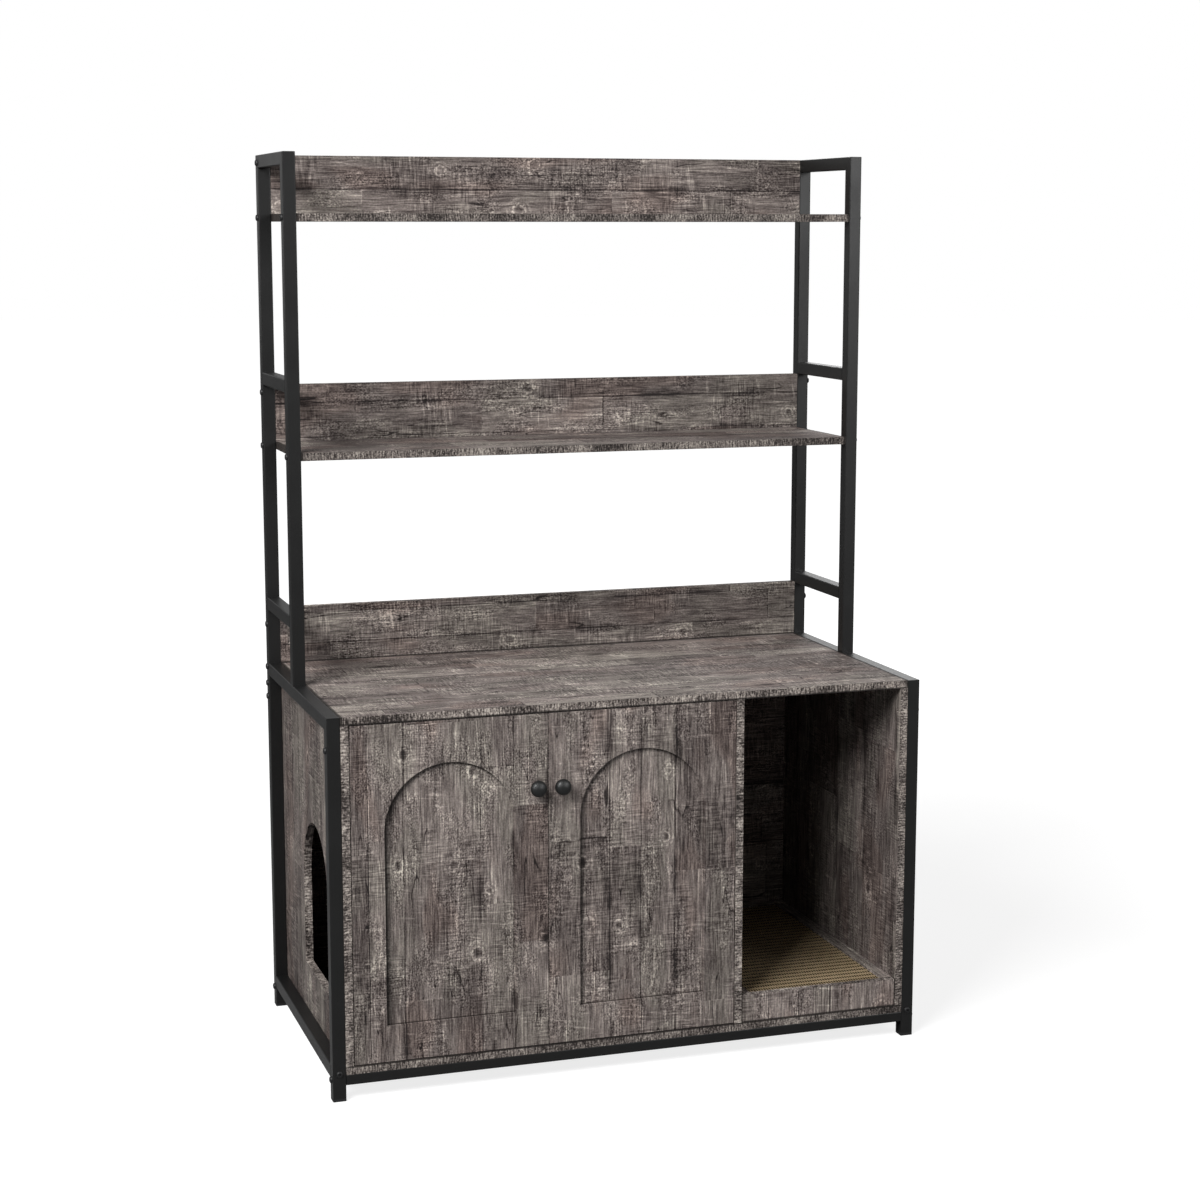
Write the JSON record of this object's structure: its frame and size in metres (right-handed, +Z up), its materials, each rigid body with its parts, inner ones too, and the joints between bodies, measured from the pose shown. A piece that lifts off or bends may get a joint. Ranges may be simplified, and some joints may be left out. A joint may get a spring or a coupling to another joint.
{
  "type": "cat litter box cabinet",
  "caption": "Litter box cabinet with arched side entrance, hinged doors, an open scratch-pad bay and a steel-framed shelf hutch.",
  "frame": {"origin": "centre of the bounding box footprint, on the floor", "axes": "+Z up, the longest extent; -Y towards the front with the doors; +X to the right seen from the front"},
  "size_m": [0.94, 0.499, 1.387],
  "materials": {
    "black_steel": "satin powder coat",
    "plank_board": "matt weathered plank print",
    "scratch_cardboard": "raw corrugated edge",
    "black_knob": "satin black",
    "foot_plastic": "matt",
    "hinge_steel": "nickel plated",
    "catch_plastic": "matt"
  },
  "bodies": {
    "cabinet": {"back_board": "plank_board", "base_left_bottom_rail": "black_steel", "base_left_front_post": "black_steel", "base_left_rear_post": "black_steel", "base_left_top_rail": "black_steel", "base_right_bottom_rail": "black_steel", "base_right_front_post": "black_steel", "base_right_rear_post": "black_steel", "base_right_top_rail": "black_steel", "bottom_board": "plank_board", "divider_board": "plank_board", "foot_cap_front_left": "foot_plastic", "foot_cap_front_right": "foot_plastic", "foot_cap_rear_left": "foot_plastic", "foot_cap_rear_right": "foot_plastic", "front_bottom_rail": "black_steel", "hutch_left_front_post": "black_steel", "hutch_left_lower_rail": "black_steel", "hutch_left_middle_rail": "black_steel", "hutch_left_rear_post": "black_steel", "hutch_left_top_rail": "black_steel", "hutch_right_front_post": "black_steel", "hutch_right_lower_rail": "black_steel", "hutch_right_middle_rail": "black_steel", "hutch_right_rear_post": "black_steel", "hutch_right_top_rail": "black_steel", "left_door_lower_hinge_arm": "hinge_steel", "left_door_lower_hinge_plate": "hinge_steel", "left_door_upper_hinge_arm": "hinge_steel", "left_door_upper_hinge_plate": "hinge_steel", "left_side_board": "plank_board", "low_back_board": "plank_board", "magnetic_catch": "catch_plastic", "middle_back_board": "plank_board", "middle_shelf": "plank_board", "rear_bottom_rail": "black_steel", "right_door_lower_hinge_arm": "hinge_steel", "right_door_lower_hinge_plate": "hinge_steel", "right_door_upper_hinge_arm": "hinge_steel", "right_door_upper_hinge_plate": "hinge_steel", "right_side_board": "plank_board", "toe_board": "plank_board", "top_back_board": "plank_board", "top_board": "plank_board", "top_shelf": "plank_board", "tray_left_strip": "plank_board", "tray_rear_strip": "plank_board", "tray_right_strip": "plank_board"},
    "left_door": {"left_door": "plank_board", "left_door_lower_hinge_cup": "hinge_steel", "left_door_upper_hinge_cup": "hinge_steel", "left_knob": "black_knob", "left_strike_plate": "hinge_steel"},
    "right_door": {"right_door": "plank_board", "right_door_lower_hinge_cup": "hinge_steel", "right_door_upper_hinge_cup": "hinge_steel", "right_knob": "black_knob", "right_strike_plate": "hinge_steel"},
    "scratch_pad": {"scratch_pad": "scratch_cardboard"}
  },
  "joints": [
    {"name": "left_door_hinge", "type": "hinge", "parent": "cabinet", "child": "left_door", "pos_m": [-0.4365, -0.2255, 0.309], "axis": [0, 0, -1], "range_deg": [0, 100]},
    {"name": "right_door_hinge", "type": "hinge", "parent": "cabinet", "child": "right_door", "pos_m": [0.1625, -0.2255, 0.309], "axis": [0, 0, 1], "range_deg": [0, 100]},
    {"name": "scratch_pad_lift", "type": "slide", "parent": "cabinet", "child": "scratch_pad", "axis": [0, 0, 1], "range_m": [0, 0.06]}
  ]
}
